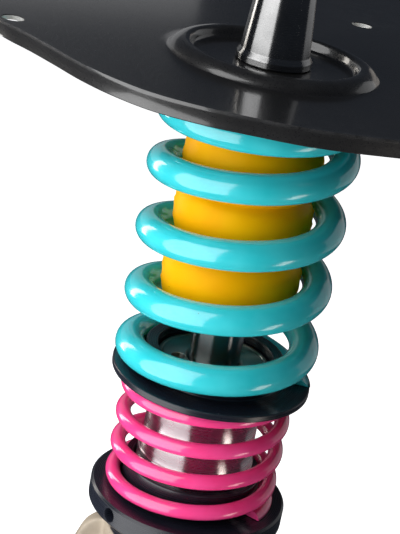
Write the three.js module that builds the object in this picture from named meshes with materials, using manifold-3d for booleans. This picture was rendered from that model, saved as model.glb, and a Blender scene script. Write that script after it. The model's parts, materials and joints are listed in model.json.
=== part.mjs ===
// Coil-over suspension strut: a spring-and-damper unit with a pressed top plate.
// Millimetres, +Z up. The origin is the centre of the lower eye, whose bolt runs along Y.
import * as THREE from 'three';
import { mergeVertices } from 'three/addons/utils/BufferGeometryUtils.js';
import Module from 'manifold-3d';

const wasm = await Module();
wasm.setup();

// ---- driving dimensions ----
const GAP = 0.3;
const ROUND = 32;

const PLATE_TOP = 318;
const SHEET = 2;
const RIM_DROP = 6.6;
const BEAD_FOOT = 42.4;
const BEAD_CREST = 38.4;
const BEAD_LIP = 34;
const BEAD_INNER = 32.6;
const BEAD_HEIGHT = 4.2;

const ROD_RADIUS = 11;
const STUD_RADIUS = 6.9;
const ROD_SHOULDER = 313.9;
const SPACER_TOP = 354;

const SEAT_RADIUS = 42.7;
const DIVIDER_TOP = 181.1;
const DIVIDER_BOTTOM = 178.1;
const SLEEVE_TOP = 190.6;

const TUBE_RADIUS = 24.3;
const THREAD_RADIUS = 25.9;
const TUBE_BORE = 21;
const TUBE_TOP = 181.2;
const TUBE_BOTTOM = 28.3;

const PERCH_TOP = 122.9;
const PERCH_BOTTOM = 113.4;
const PERCH_RADIUS = 43;
const COLLAR_TOP = 135.6;
const RING_BORE = 26.2;

const BRACKET_TOP = 101.7;
const BRACKET_RADIUS = 33;
const EYE_RADIUS = 20;
const EYE_WIDTH = 36;

const MAIN_SPRING = {
  radius: 36.56,
  wire: 6.31,
  pitch: 28.22,
  zeroHeight: PLATE_TOP - 34.83,
  lowPitch: 20,
  highPitch: 12.8,
  lowTip: -1440,
  lowJoin: -1104,
  highJoin: 95,
  highTip: 752,
  steps: 127,
};

const TENDER_SPRING = {
  radius: 34.19,
  wire: 3.27,
  pitch: 14.67,
  zeroHeight: PLATE_TOP - 155.36,
  lowPitch: 6.1,
  highPitch: 6.1,
  lowTip: -1110,
  lowJoin: -869,
  highJoin: 291,
  highTip: 543,
  steps: 92,
};

// ---- solids ----
function toSolid(geometry) {
  const bare = geometry.clone();
  bare.deleteAttribute('normal');
  bare.deleteAttribute('uv');
  const merged = mergeVertices(bare, 1e-4);
  return new wasm.Manifold(new wasm.Mesh({
    numProp: 3,
    vertProperties: new Float32Array(merged.attributes.position.array),
    triVerts: new Uint32Array(merged.index.array),
  }));
}

function fromSolid(solid) {
  const mesh = solid.getMesh();
  const geometry = new THREE.BufferGeometry();
  geometry.setAttribute('position', new THREE.BufferAttribute(mesh.vertProperties, 3));
  geometry.setIndex(new THREE.BufferAttribute(mesh.triVerts, 1));
  geometry.computeVertexNormals();
  return geometry;
}

const add = (first, ...rest) => rest.reduce((sum, solid) => sum.add(solid), first);
const cut = (first, ...rest) => rest.reduce((left, solid) => left.subtract(solid), first);

// A turned solid about Z from [radius, height] pairs, listed up the outside and down the inside.
function turned(profile, segments = ROUND) {
  const points = profile.map(([radius, height]) => new THREE.Vector2(radius, height));
  if (profile[0][0] > 0 || profile[profile.length - 1][0] > 0) {
    points.push(points[0].clone());
  }
  const geometry = new THREE.LatheGeometry(points, segments);
  geometry.rotateX(Math.PI / 2);
  return toSolid(geometry);
}

function disc(radius, low, high, segments = ROUND) {
  return turned([[0, low], [radius, low], [radius, high], [0, high]], segments);
}

function ring(outer, inner, low, high, chamfer = 0) {
  const profile = chamfer
    ? [[inner, low], [outer - chamfer, low], [outer, low + chamfer],
      [outer, high - chamfer], [outer - chamfer, high], [inner, high]]
    : [[inner, low], [outer, low], [outer, high], [inner, high]];
  return turned(profile);
}

function alongY(solid) {
  return solid.rotate([90, 0, 0]);
}

function hexPrism(acrossFlats, low, high) {
  return disc(acrossFlats / Math.sqrt(3), low, high, 6);
}

function slab(shape, low, high, bevel = 0) {
  const geometry = new THREE.ExtrudeGeometry(shape, {
    depth: high - low - 2 * bevel,
    bevelEnabled: bevel > 0,
    bevelThickness: bevel,
    bevelSize: bevel,
    bevelOffset: -bevel,
    bevelSegments: 2,
    curveSegments: 12,
  });
  geometry.translate(0, 0, low + bevel);
  return toSolid(geometry);
}

function box(sizeX, sizeY, sizeZ, x, y, z) {
  return toSolid(new THREE.BoxGeometry(sizeX, sizeY, sizeZ).translate(x, y, z));
}

// ---- springs ----
// Height of the wire's centre line: an even pitch between two closed end coils.
function wireHeight(spring, degrees) {
  const active = Math.min(Math.max(degrees, spring.lowJoin), spring.highJoin);
  const below = Math.min(degrees - spring.lowJoin, 0);
  const above = Math.max(degrees - spring.highJoin, 0);
  const climb = active * spring.pitch + below * spring.lowPitch + above * spring.highPitch;
  return spring.zeroHeight + climb / 360;
}

class SpringCurve extends THREE.Curve {
  constructor(spring) {
    super();
    this.spring = spring;
  }

  getPoint(t, target = new THREE.Vector3()) {
    const { radius, lowTip, highTip } = this.spring;
    const degrees = lowTip + t * (highTip - lowTip);
    const angle = THREE.MathUtils.degToRad(degrees);
    return target.set(
      radius * Math.cos(angle),
      radius * Math.sin(angle),
      wireHeight(this.spring, degrees),
    );
  }
}

function coiled(spring, floor, ceiling) {
  const section = new THREE.Shape();
  section.absarc(0, 0, spring.wire, 0, Math.PI * 2, false);
  const wire = toSolid(new THREE.ExtrudeGeometry(section, {
    steps: spring.steps,
    curveSegments: 6,
    bevelEnabled: false,
    extrudePath: new SpringCurve(spring),
  }));
  return cut(wire, disc(80, floor - 30, floor, 16), disc(80, ceiling, ceiling + 30, 16));
}

// ---- top plate ----
const PLATE_OUTLINE = [
  [0, -82], [17, -82], [34, -79], [52, -74], [72, -68], [90, -57], [101, -40],
  [103, -15], [98, 25], [93, 75], [88, 125], [76, 160], [52, 177], [20, 180],
  [-20, 168], [-62, 135], [-95, 90], [-114, 45], [-118.6, 12], [-115, -6],
  [-106.4, -17.5], [-94, -29.3], [-82, -42], [-70, -55], [-57, -66], [-40, -76], [-20, -81],
];
const PLATE_HOLES = [[-103.4, -11], [36, 95.5], [86, -40]];
const PLATE_HOLE_RADIUS = 4.4;

function outlineShape(points, inset) {
  const curve = new THREE.CatmullRomCurve3(
    points.map(([x, y]) => new THREE.Vector3(x, y, 0)), true, 'centripetal');
  const count = 76;
  const shape = [];
  for (let i = 0; i < count; i += 1) {
    const point = curve.getPoint(i / count);
    const tangent = curve.getTangent(i / count);
    shape.push(new THREE.Vector2(point.x - tangent.y * inset, point.y + tangent.x * inset));
  }
  return new THREE.Shape(shape);
}

function topPlate() {
  const low = PLATE_TOP - RIM_DROP;
  const outer = slab(outlineShape(PLATE_OUTLINE, 0), low - 3, PLATE_TOP, 1.8);
  const inner = slab(outlineShape(PLATE_OUTLINE, SHEET), low - 6, PLATE_TOP - SHEET, 1);
  const bead = turned([
    [0, PLATE_TOP - 1], [BEAD_FOOT, PLATE_TOP - 1], [BEAD_FOOT, PLATE_TOP],
    [41.4, PLATE_TOP + 2], [40.2, PLATE_TOP + 3.4], [BEAD_CREST, PLATE_TOP + BEAD_HEIGHT],
    [35.6, PLATE_TOP + BEAD_HEIGHT + 0.1], [BEAD_LIP, PLATE_TOP + BEAD_HEIGHT - 0.4],
    [33.2, PLATE_TOP + 2.6], [BEAD_INNER, PLATE_TOP], [0, PLATE_TOP],
  ]);
  const beadHollow = ring(39.8, 35.2, PLATE_TOP - SHEET - 1, PLATE_TOP + BEAD_HEIGHT - SHEET);
  const holes = PLATE_HOLES.map(([x, y]) => (
    disc(PLATE_HOLE_RADIUS, PLATE_TOP - 20, PLATE_TOP + 20, 32).translate([x, y, 0])));
  const stud = disc(STUD_RADIUS + GAP, PLATE_TOP - 20, PLATE_TOP + 20);
  const trim = box(400, 400, 20, 0, 0, low - 10);
  return cut(add(outer, bead), inner, beadHollow, stud, trim, ...holes);
}

// ---- rod and what is on it ----
function pistonRod() {
  return turned([
    [0, 107], [5.6, 107], [6, 107.5], [6, 136], [ROD_RADIUS, 136], [ROD_RADIUS, ROD_SHOULDER - 0.5],
    [ROD_RADIUS - 0.5, ROD_SHOULDER], [STUD_RADIUS, ROD_SHOULDER], [STUD_RADIUS, 372],
    [STUD_RADIUS - 1.2, 373.5], [0, 373.5],
  ]);
}

function taperedSpacer() {
  const low = PLATE_TOP + GAP;
  const bore = STUD_RADIUS + GAP;
  return turned([
    [bore, low], [15.35, low], [15.35, PLATE_TOP + 2.8], [14, PLATE_TOP + 4.8],
    [11.4, SPACER_TOP - 0.6], [10.8, SPACER_TOP], [bore, SPACER_TOP],
  ]);
}

function topNut() {
  const low = 357.6;
  const body = hexPrism(22, low, low + 12);
  const cone = turned([[0, low - 2], [11.4, low - 2], [13.2, low + 1.4], [13.2, low + 10.6],
    [11.2, low + 12], [0, low + 12]]);
  return cut(body.intersect(cone), disc(STUD_RADIUS + GAP, low - 5, low + 20));
}

function bumpStopCup() {
  const base = ROD_SHOULDER + GAP;
  return turned([
    [STUD_RADIUS + GAP, base], [25.6, base], [25.6, base - 7], [27, base - 7],
    [27, base + 0.8], [26.3, base + 1.5], [STUD_RADIUS + GAP, base + 1.5],
  ]);
}

function bumpStop() {
  const bore = ROD_RADIUS + 0.5;
  return turned([
    [bore, 206], [19.5, 206], [22.5, 207.6], [25.6, 211], [27.9, 217], [28.8, 226],
    [28.4, 233], [26.6, 238], [25, 240], [26.4, 242], [28.2, 248], [28.5, 255.5],
    [27.6, 261], [25, 265], [26.8, 267], [28.6, 273], [28.2, 280], [26.4, 289],
    [24.2, 294], [25.2, 297], [25.2, 313.6], [bore, 313.6],
  ]);
}

function shimStack(low, direction) {
  const steps = [14.5, 14.5, 12.6, 10.8, 9];
  const profile = [[6.3, low]];
  steps.forEach((radius, index) => {
    profile.push([radius, low + direction * index * 0.4]);
    profile.push([radius, low + direction * (index + 1) * 0.4]);
  });
  profile.push([6.3, low + direction * steps.length * 0.4]);
  return turned(direction > 0 ? profile : profile.reverse());
}

function piston() {
  const body = turned([
    [6.3, 118], [14.6, 118], [15.4, 118.6], [15.4, 121.4], [13.9, 121.4], [13.9, 128.6],
    [15.4, 128.6], [15.4, 131.4], [14.8, 132], [6.3, 132],
  ]);
  const ports = [];
  for (let i = 0; i < 6; i += 1) {
    ports.push(disc(1.5, 110, 140, 12).translate([10.2, 0, 0]).rotate([0, 0, i * 60]));
  }
  return cut(body, ...ports);
}

// ---- damper ----
function damperTube() {
  return turned([
    [TUBE_BORE, TUBE_BOTTOM], [THREAD_RADIUS - 1, TUBE_BOTTOM], [THREAD_RADIUS, TUBE_BOTTOM + 1],
    [THREAD_RADIUS, 132.4], [24.9, 133.2], [24.9, 134.2], [25.4, 134.8], [25.4, 141.5],
    [24.9, 143.6], [24.5, 145.6], [TUBE_RADIUS, 148], [TUBE_RADIUS, TUBE_TOP],
    [TUBE_BORE, TUBE_TOP],
  ]);
}

function glandCap() {
  const body = turned([
    [ROD_RADIUS + 2.2, 170], [TUBE_BORE - GAP, 170], [TUBE_BORE - GAP, TUBE_TOP + GAP],
    [24.1, TUBE_TOP + GAP], [24.1, 185.5], [23.3, 186.2], [ROD_RADIUS + 1, 186.2],
    [ROD_RADIUS + GAP, 185.4], [ROD_RADIUS + GAP, 180], [ROD_RADIUS + 2.2, 180],
  ]);
  const pinHoles = [];
  for (let i = 0; i < 3; i += 1) {
    pinHoles.push(disc(3, 180.8, 190, 24).translate([15.6, 0, 0]).rotate([0, 0, 197 + i * 120]));
  }
  return cut(body, ...pinHoles);
}

function rodSeal() {
  return turned([
    [ROD_RADIUS + 0.15, 174], [ROD_RADIUS + 1.9, 172.6], [ROD_RADIUS + 1.9, 179.6],
    [ROD_RADIUS + 0.6, 179.6],
  ]);
}

function rodGuide() {
  return turned([
    [ROD_RADIUS + 1.5, 154], [17.2, 154], [17.2, 158], [20.7, 158], [20.7, 169.6],
    [ROD_RADIUS + 1.5, 169.6],
  ]);
}

// ---- seats ----
function springDivider() {
  return turned([
    [24.75, 172], [30.3, 172], [30.3, DIVIDER_BOTTOM], [SEAT_RADIUS - 0.6, DIVIDER_BOTTOM],
    [SEAT_RADIUS, DIVIDER_BOTTOM + 0.6], [SEAT_RADIUS, DIVIDER_TOP - 0.6],
    [SEAT_RADIUS - 0.6, DIVIDER_TOP], [29.85, DIVIDER_TOP], [29.85, SLEEVE_TOP - 0.8],
    [29.1, SLEEVE_TOP], [25.4, SLEEVE_TOP], [24.75, SLEEVE_TOP - 0.6], [24.75, 180],
    [26, 180], [26, 174], [24.75, 174],
  ]);
}

function perchRing() {
  const body = ring(PERCH_RADIUS, RING_BORE, PERCH_BOTTOM, PERCH_TOP, 1);
  const holes = [];
  for (let i = 0; i < 4; i += 1) {
    const angle = 224.5 + i * 90;
    holes.push(disc(2.9, 0, 20, 24).rotate([0, 90, 0]).translate([PERCH_RADIUS - 9, 0, 118.2])
      .rotate([0, 0, angle]));
  }
  return cut(body, ...holes);
}

function lockRing(outer, low, high, notches) {
  const body = ring(outer, RING_BORE, low, high, 0.7);
  const slots = [];
  for (let i = 0; i < notches; i += 1) {
    slots.push(box(8, 6, 20, outer + 1, 0, low).rotate([0, 0, 20 + (i * 360) / notches]));
  }
  return cut(body, ...slots);
}

// ---- lower bracket ----
const LUG_TOP = [-31, 88];
const LUG_HOLE = [-42, 58];

// A flat lug standing in the XZ plane, hulled round two circles.
function lug() {
  const radius = 13.3;
  const outline = [];
  const slope = Math.atan2(LUG_HOLE[1] - LUG_TOP[1], LUG_HOLE[0] - LUG_TOP[0]);
  for (let i = 0; i <= 24; i += 1) {
    const angle = slope + Math.PI / 2 + (i / 24) * Math.PI + Math.PI;
    outline.push([LUG_HOLE[0] + radius * Math.cos(angle), LUG_HOLE[1] + radius * Math.sin(angle)]);
  }
  for (let i = 0; i <= 24; i += 1) {
    const angle = slope + Math.PI / 2 + (i / 24) * Math.PI;
    outline.push([LUG_TOP[0] + radius * Math.cos(angle), LUG_TOP[1] + radius * Math.sin(angle)]);
  }
  const shape = new THREE.Shape(outline.map(([x, z]) => new THREE.Vector2(x, z)));
  return slab(shape, -4, 4, 0.9).rotate([90, 0, 0]);
}

function web() {
  const outline = [[-30, 52], [-30, 24], [-19.5, -4], [19.5, -4], [30, 24], [30, 52]];
  const shape = new THREE.Shape(outline.map(([x, z]) => new THREE.Vector2(x, z)));
  return slab(shape, -12, 12, 1.5).rotate([90, 0, 0]);
}

function gusset() {
  const outline = [[-20, 96], [-20, 30], [-34, 34], [-46, 46], [-43, 84]];
  const shape = new THREE.Shape(outline.map(([x, z]) => new THREE.Vector2(x, z)));
  return slab(shape, -4, 4, 0.9).rotate([90, 0, 0]);
}

function lowerBracket() {
  const cup = turned([
    [0, 18], [22, 18], [BRACKET_RADIUS - 3, 24], [BRACKET_RADIUS, 30],
    [BRACKET_RADIUS, BRACKET_TOP - 1.5], [BRACKET_RADIUS - 1.5, BRACKET_TOP], [0, BRACKET_TOP],
  ]);
  const eye = alongY(turned([
    [0, -EYE_WIDTH / 2], [EYE_RADIUS - 1, -EYE_WIDTH / 2], [EYE_RADIUS, -EYE_WIDTH / 2 + 1],
    [EYE_RADIUS, EYE_WIDTH / 2 - 1], [EYE_RADIUS - 1, EYE_WIDTH / 2], [0, EYE_WIDTH / 2],
  ]));
  const body = add(cup, eye, web(), lug(), gusset());
  const tubeBore = disc(RING_BORE, TUBE_BOTTOM - GAP, BRACKET_TOP + 10);
  const eyeBore = alongY(disc(16.3, -40, 40));
  const lugBore = alongY(disc(5.1, -20, 20, 32)).translate([LUG_HOLE[0], 0, LUG_HOLE[1]]);
  return cut(body, tubeBore, eyeBore, lugBore);
}

function yTube(outer, inner, halfLength) {
  return alongY(ring(outer, inner, -halfLength, halfLength, 0.4));
}

// ---- materials ----
const FINISHES = {
  'black-plate': ['#1d1c1c', 0.42, 0.55],
  'dark-polished-steel': ['#6d6e72', 0.2, 1],
  'zinc-steel': ['#a9a8a2', 0.38, 1],
  'chrome-rod': ['#8d9498', 0.08, 1],
  'turquoise-powder': ['#2fcbd8', 0.2, 0.05],
  'pink-powder': ['#ff4a96', 0.22, 0.05],
  'yellow-foam': ['#f2b400', 0.5, 0],
  'black-anodised': ['#15171d', 0.34, 0.6],
  'polished-stainless': ['#b9b7ba', 0.14, 1],
  'satin-aluminium': ['#a6aaa0', 0.4, 1],
  'cast-beige': ['#b5a48f', 0.66, 0.35],
  'black-rubber': ['#141414', 0.8, 0],
  'white-nylon': ['#d9d6cc', 0.55, 0],
  'bronze': ['#a77b42', 0.4, 1],
  'sintered-steel': ['#77756f', 0.55, 0.9],
};

const materials = new Map();
function finish(slot) {
  if (!materials.has(slot)) {
    const [color, roughness, metalness] = FINISHES[slot];
    materials.set(slot, { color, roughness, metalness });
  }
  return new THREE.MeshStandardMaterial({ name: slot, ...materials.get(slot) });
}

const strut = new THREE.Group();
strut.name = 'coil_over_strut';

function place(parent, name, slot, solid) {
  const mesh = new THREE.Mesh(fromSolid(solid), finish(slot));
  mesh.name = name;
  parent.add(mesh);
}

function group(name) {
  const made = new THREE.Group();
  made.name = name;
  strut.add(made);
  return made;
}

// ---- assembly ----
const damper = group('damper_body');
place(damper, 'damper_tube', 'polished-stainless', damperTube());
place(damper, 'gland_cap', 'satin-aluminium', glandCap());
place(damper, 'rod_seal', 'black-rubber', rodSeal());
place(damper, 'rod_guide', 'sintered-steel', rodGuide());
place(damper, 'guide_bush', 'bronze', ring(12.2, ROD_RADIUS + 0.1, 155, 169));
place(damper, 'inner_tube', 'zinc-steel', ring(17.5, 16, 44, 153.6));
place(damper, 'foot_valve', 'sintered-steel', turned([
  [3.4, 35], [18.6, 35], [18.6, 41], [15.7, 41.6], [15.7, 48], [3.4, 48],
]));
place(damper, 'foot_valve_shims', 'zinc-steel', ring(13, 3.4, 48.3, 49.5));
place(damper, 'foot_valve_screw', 'zinc-steel', add(disc(3.1, 33, 50), hexPrism(9, 49.8, 52.4)));
place(damper, 'base_cap', 'zinc-steel', turned([
  [0, TUBE_BOTTOM + 0.4], [TUBE_BORE - GAP, TUBE_BOTTOM + 0.4], [TUBE_BORE - GAP, 34.6],
  [18, 34.6], [16, 32.4], [0, 32.4],
]));
place(damper, 'bracket_lock_ring', 'black-anodised', lockRing(33, 102, 106.6, 6));
place(damper, 'lower_bracket', 'cast-beige', lowerBracket());
place(damper, 'bush_outer_sleeve', 'zinc-steel', yTube(16, 14.6, 18));
place(damper, 'bush_rubber', 'black-rubber', yTube(14.35, 8.75, 17));
place(damper, 'bush_inner_sleeve', 'zinc-steel', yTube(8.5, 6.1, 22));

const perchSeat = group('perch_seat');
place(perchSeat, 'perch_collar', 'black-anodised', ring(30, 26.4, PERCH_TOP + GAP, COLLAR_TOP, 0.7));
place(perchSeat, 'tender_spring', 'pink-powder',
  coiled(TENDER_SPRING, PERCH_TOP + GAP, DIVIDER_BOTTOM - GAP));

const perch = group('perch');
place(perch, 'perch_ring', 'black-anodised', perchRing());
place(perch, 'perch_lock_ring', 'black-anodised', lockRing(36, 107, PERCH_BOTTOM - 0.4, 6));

const divider = group('divider');
place(divider, 'spring_divider', 'black-anodised', springDivider());
place(divider, 'divider_bush', 'white-nylon', ring(25.7, 24.5, 174.3, 179.7));
place(divider, 'main_spring', 'turquoise-powder',
  coiled(MAIN_SPRING, DIVIDER_TOP + GAP, PLATE_TOP - SHEET - GAP));

const top = group('top');
place(top, 'top_plate', 'black-plate', topPlate());
place(top, 'tapered_spacer', 'dark-polished-steel', taperedSpacer());
place(top, 'top_washer', 'zinc-steel', ring(14, STUD_RADIUS + GAP, 354.3, 357.3, 0.4));
place(top, 'top_nut', 'zinc-steel', topNut());
place(top, 'piston_rod', 'chrome-rod', pistonRod());
place(top, 'bump_stop_cup', 'zinc-steel', bumpStopCup());
place(top, 'bump_stop', 'yellow-foam', bumpStop());
place(top, 'rebound_stop', 'white-nylon', ring(15.2, ROD_RADIUS + GAP, 136.5, 143, 0.6));
place(top, 'rebound_shims', 'zinc-steel', shimStack(132.3, 1));
place(top, 'piston', 'sintered-steel', piston());
place(top, 'piston_band', 'white-nylon', ring(15.8, 14.2, 121.7, 128.3));
place(top, 'compression_shims', 'zinc-steel', shimStack(117.7, -1));
place(top, 'piston_nut', 'zinc-steel', cut(hexPrism(19, 107.9, 115.4), disc(6.3, 100, 120)));

export default strut;
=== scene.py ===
"""Coil-over suspension strut: the finished look, built round the CAD frame.

The strut stands on its lower eye, with the damper's axis along +Z. Scene units are metres.
Profiles and outlines are written in millimetres and turned to metres by the builders.
"""
import json
import math

import bmesh
import bpy
from mathutils import Matrix, Quaternion, Vector


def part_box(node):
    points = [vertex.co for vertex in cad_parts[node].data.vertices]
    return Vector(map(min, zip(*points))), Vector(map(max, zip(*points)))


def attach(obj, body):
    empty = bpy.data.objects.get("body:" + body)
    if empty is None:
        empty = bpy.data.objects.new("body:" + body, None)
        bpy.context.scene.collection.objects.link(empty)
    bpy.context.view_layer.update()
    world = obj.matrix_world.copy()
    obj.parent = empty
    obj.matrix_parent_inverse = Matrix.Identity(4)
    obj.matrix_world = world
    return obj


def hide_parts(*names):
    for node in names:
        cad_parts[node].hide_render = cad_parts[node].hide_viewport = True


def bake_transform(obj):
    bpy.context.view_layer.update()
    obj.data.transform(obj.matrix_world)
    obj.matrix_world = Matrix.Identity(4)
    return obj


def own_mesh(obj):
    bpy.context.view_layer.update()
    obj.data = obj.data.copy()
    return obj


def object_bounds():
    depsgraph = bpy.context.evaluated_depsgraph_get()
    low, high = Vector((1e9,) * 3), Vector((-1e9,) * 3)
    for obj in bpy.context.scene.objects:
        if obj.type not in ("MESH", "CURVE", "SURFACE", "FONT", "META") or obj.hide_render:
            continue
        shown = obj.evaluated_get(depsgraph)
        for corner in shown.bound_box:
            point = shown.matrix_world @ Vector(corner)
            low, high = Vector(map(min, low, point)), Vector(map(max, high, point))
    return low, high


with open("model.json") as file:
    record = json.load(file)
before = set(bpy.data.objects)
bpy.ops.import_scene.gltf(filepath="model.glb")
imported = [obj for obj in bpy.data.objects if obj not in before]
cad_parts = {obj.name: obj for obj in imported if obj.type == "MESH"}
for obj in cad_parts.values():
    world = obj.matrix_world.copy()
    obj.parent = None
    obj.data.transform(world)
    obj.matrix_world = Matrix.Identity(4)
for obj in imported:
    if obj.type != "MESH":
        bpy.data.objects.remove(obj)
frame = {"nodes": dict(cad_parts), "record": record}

cad_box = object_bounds()

MM = 0.001
RECORD = frame["record"]
BODIES = RECORD["behaviour"]["bodies"]
BODY_OF = {node: body for body, nodes in BODIES.items() for node in nodes}
SLOT_OF = {row["node"]: row["material_slot"] for row in RECORD["subparts"]}
OPENINGS = {row["name"]: row["box_m"] for row in RECORD["physics"]["openings"]}
MOUNTS = {row["name"]: row["pos_m"] for row in RECORD["mounts"]}

SMOOTH_BELOW = math.radians(33)  # edges that turn less than this are shaded smooth
ROUND = 128                      # points round a turned piece
SHEET = 2.0                      # thickness of the top plate
STUD_RADIUS = 6.9                # the rod's stud, above the plate
STUD_BORE = STUD_RADIUS + 0.3    # what fits on the stud
TUBE_BORE = 26.2                 # what goes round the damper tube's thread


# ---- camera, light and floor ----
def place_camera():
    """A long lens, a little above the strut, leaning so that the strut's top goes to the right."""
    camera = bpy.data.objects.new("camera", bpy.data.cameras.new("camera"))
    bpy.context.scene.collection.objects.link(camera)
    camera.data.lens = 112.4
    camera.data.sensor_width = 36
    camera.data.clip_start = 0.01
    camera.location = (0, -0.6468, 0.4841)
    aim = Vector((-0.0131, 0, 0.2258)) - camera.location
    lean = Quaternion((0, 0, 1), math.radians(10.88))
    camera.rotation_mode = "QUATERNION"
    camera.rotation_quaternion = aim.to_track_quat("-Z", "Y") @ lean
    bpy.context.scene.camera = camera


def round_the_strut(azimuth, reach):
    """The point at an azimuth seen from above; 0 is the camera's side and left is negative."""
    angle = math.radians(azimuth)
    return Vector((math.sin(angle) * reach, -math.cos(angle) * reach, 0))


WHITE = (1, 1, 1)
WARM = (1.0, 0.9, 0.8)
FAINTLY_WARM = (1.0, 0.95, 0.88)
ROOM_GLOW = (0.03, 0.035, 0.045, 1)
PANELS = [
    # name, azimuths of its two edges, distance, heights of its two edges, radiance and colour
    ("key_panel", (-83, -18), 0.65, (-0.35, 1.2), 3.2, WHITE),
    ("right_strip", (54, 68), 0.6, (-0.35, 0.05), 4, WARM),
    ("back_left_strip", (-126, -114), 0.6, (0.05, 0.5), 6, FAINTLY_WARM),
    ("back_card", (-175, -128), 0.9, (0.2, 0.52), 0.3, WHITE),
    ("back_right_card", (148, 168), 1.0, (0.3, 0.5), 0.3, WARM),
    ("right_fill", (105, 150), 1.2, (-0.2, 0.9), 0.4, WHITE),
]


def light_panel(name, azimuths, reach, heights, radiance, colour):
    """An upright soft panel that spans two azimuths and faces the strut."""
    ends = [round_the_strut(azimuth, reach) for azimuth in azimuths]
    across = (ends[1] - ends[0]).normalized()
    up = Vector((0, 0, 1))
    facing = across.cross(up)
    if facing.dot(ends[0] + ends[1]) < 0:
        across = -across
        facing = -facing
    lamp = bpy.data.lights.new(name, "AREA")
    lamp.shape = "RECTANGLE"
    lamp.size = (ends[1] - ends[0]).length
    lamp.size_y = heights[1] - heights[0]
    lamp.energy = radiance * math.pi * lamp.size * lamp.size_y
    lamp.color = colour
    panel = bpy.data.objects.new(name, lamp)
    centre = (ends[0] + ends[1]) / 2 + up * sum(heights) / 2
    turn = Matrix((across, up, facing)).transposed().to_4x4()
    panel.matrix_world = Matrix.Translation(centre) @ turn
    panel.visible_camera = False
    bpy.context.scene.collection.objects.link(panel)


def light_studio():
    """The panels round the strut, and a white surround that lights it only faintly."""
    for panel in PANELS:
        light_panel(*panel)
    world = bpy.data.worlds.new("studio")
    world.use_nodes = True
    tree = world.node_tree
    seen = tree.nodes.new("ShaderNodeLightPath").outputs["Is Camera Ray"]
    tint = add_node(tree, "ShaderNodeMix", {0: seen, 6: ROOM_GLOW, 7: (*WHITE, 1)}, data_type="RGBA")
    tree.links.new(tint.outputs[2], tree.nodes["Background"].inputs["Color"])
    bpy.context.scene.world = world
    bpy.context.scene.view_settings.view_transform = "Standard"



def lay_floor():
    """A floor that shows as plain white. Reflections and shadow rays pass through it, so it has
    neither a horizon on the metal nor a shadow on it."""
    reach = 6
    height = cad_box[0].z - 0.0002
    corners = [(-reach, -reach), (reach, -reach), (reach, reach), (-reach, reach)]
    mesh = bpy.data.meshes.new("floor")
    mesh.from_pydata([(*corner, height) for corner in corners], [], [(0, 1, 2, 3)])
    floor = bpy.data.objects.new("floor", mesh)
    bpy.context.scene.collection.objects.link(floor)
    finish = bpy.data.materials.new("floor")
    finish.use_nodes = True
    tree = finish.node_tree
    path = tree.nodes.new("ShaderNodeLightPath").outputs
    shader = tree.nodes["Principled BSDF"]
    shader.inputs["Base Color"].default_value = (0.8, 0.8, 0.8, 1)
    shader.inputs["Roughness"].default_value = 0.9
    shader.inputs["Specular IOR Level"].default_value = 0
    shader.inputs["Emission Color"].default_value = (*WHITE, 1)
    tree.links.new(path["Is Camera Ray"], shader.inputs["Emission Strength"])
    passing = math_node(tree, "MAXIMUM", path["Is Glossy Ray"], path["Is Shadow Ray"])
    clear = tree.nodes.new("ShaderNodeBsdfTransparent").outputs[0]
    choice = add_node(tree, "ShaderNodeMixShader", {0: passing, 1: shader.outputs[0], 2: clear})
    tree.links.new(choice.outputs[0], tree.nodes["Material Output"].inputs["Surface"])
    mesh.materials.append(finish)



# ---- node helpers ----
def add_node(tree, kind, values=None, **settings):
    """A node with its settings; each value is a number, a colour or the output that feeds it."""
    node = tree.nodes.new(kind)
    for name, setting in settings.items():
        setattr(node, name, setting)
    for socket, value in (values or {}).items():
        if isinstance(value, bpy.types.NodeSocket):
            tree.links.new(value, node.inputs[socket])
        else:
            node.inputs[socket].default_value = value
    return node


def math_node(tree, operation, *values):
    kind = "ShaderNodeMath"
    return add_node(tree, kind, dict(enumerate(values)), operation=operation).outputs[0]


def shader_group(name, inputs, outputs):
    """An empty shader group with named number inputs and outputs."""
    tree = bpy.data.node_groups.new(name, "ShaderNodeTree")
    for label, value in inputs.items():
        socket = tree.interface.new_socket(label, in_out="INPUT", socket_type="NodeSocketFloat")
        socket.default_value = value
    for label in outputs:
        tree.interface.new_socket(label, in_out="OUTPUT", socket_type="NodeSocketFloat")
    return tree, tree.nodes.new("NodeGroupInput").outputs, tree.nodes.new("NodeGroupOutput").inputs


def object_place(tree):
    return tree.nodes.new("ShaderNodeTexCoord").outputs["Object"]


# ---- shared surface effects ----
def make_grain():
    """Fine grain over a broad, slow mottle; both run from 0 to 1 about a half."""
    tree, given, made = shader_group("grain", {"Grain Size": 0.4, "Mottle Size": 8},
                                     ("Grain", "Mottle"))
    place = object_place(tree)
    for label, detail in (("Grain", 2), ("Mottle", 4)):
        scale = math_node(tree, "DIVIDE", 1 / MM, given[f"{label} Size"])
        noise = add_node(tree, "ShaderNodeTexNoise", {"Vector": place, "Scale": scale, "Detail": detail})
        tree.links.new(noise.outputs[0], made[label])
    return tree


def make_specks():
    """Sparse round specks: one in a few cells of a random cell pattern."""
    tree, given, made = shader_group("specks", {"Spacing": 4, "Size": 0.1, "Share": 0.2}, ("Mask",))
    scale = math_node(tree, "DIVIDE", 1 / MM, given["Spacing"])
    cells = add_node(tree, "ShaderNodeTexVoronoi", {"Vector": object_place(tree), "Scale": scale})
    random = add_node(tree, "ShaderNodeSeparateColor", {0: cells.outputs["Color"]})
    reach = math_node(tree, "DIVIDE", given["Size"], given["Spacing"])
    size = math_node(tree, "MULTIPLY", reach, math_node(tree, "ADD", random.outputs[1], 0.4))
    near = math_node(tree, "LESS_THAN", cells.outputs["Distance"], size)
    chosen = math_node(tree, "LESS_THAN", random.outputs[0], given["Share"])
    tree.links.new(math_node(tree, "MULTIPLY", near, chosen), made["Mask"])
    return tree


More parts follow.
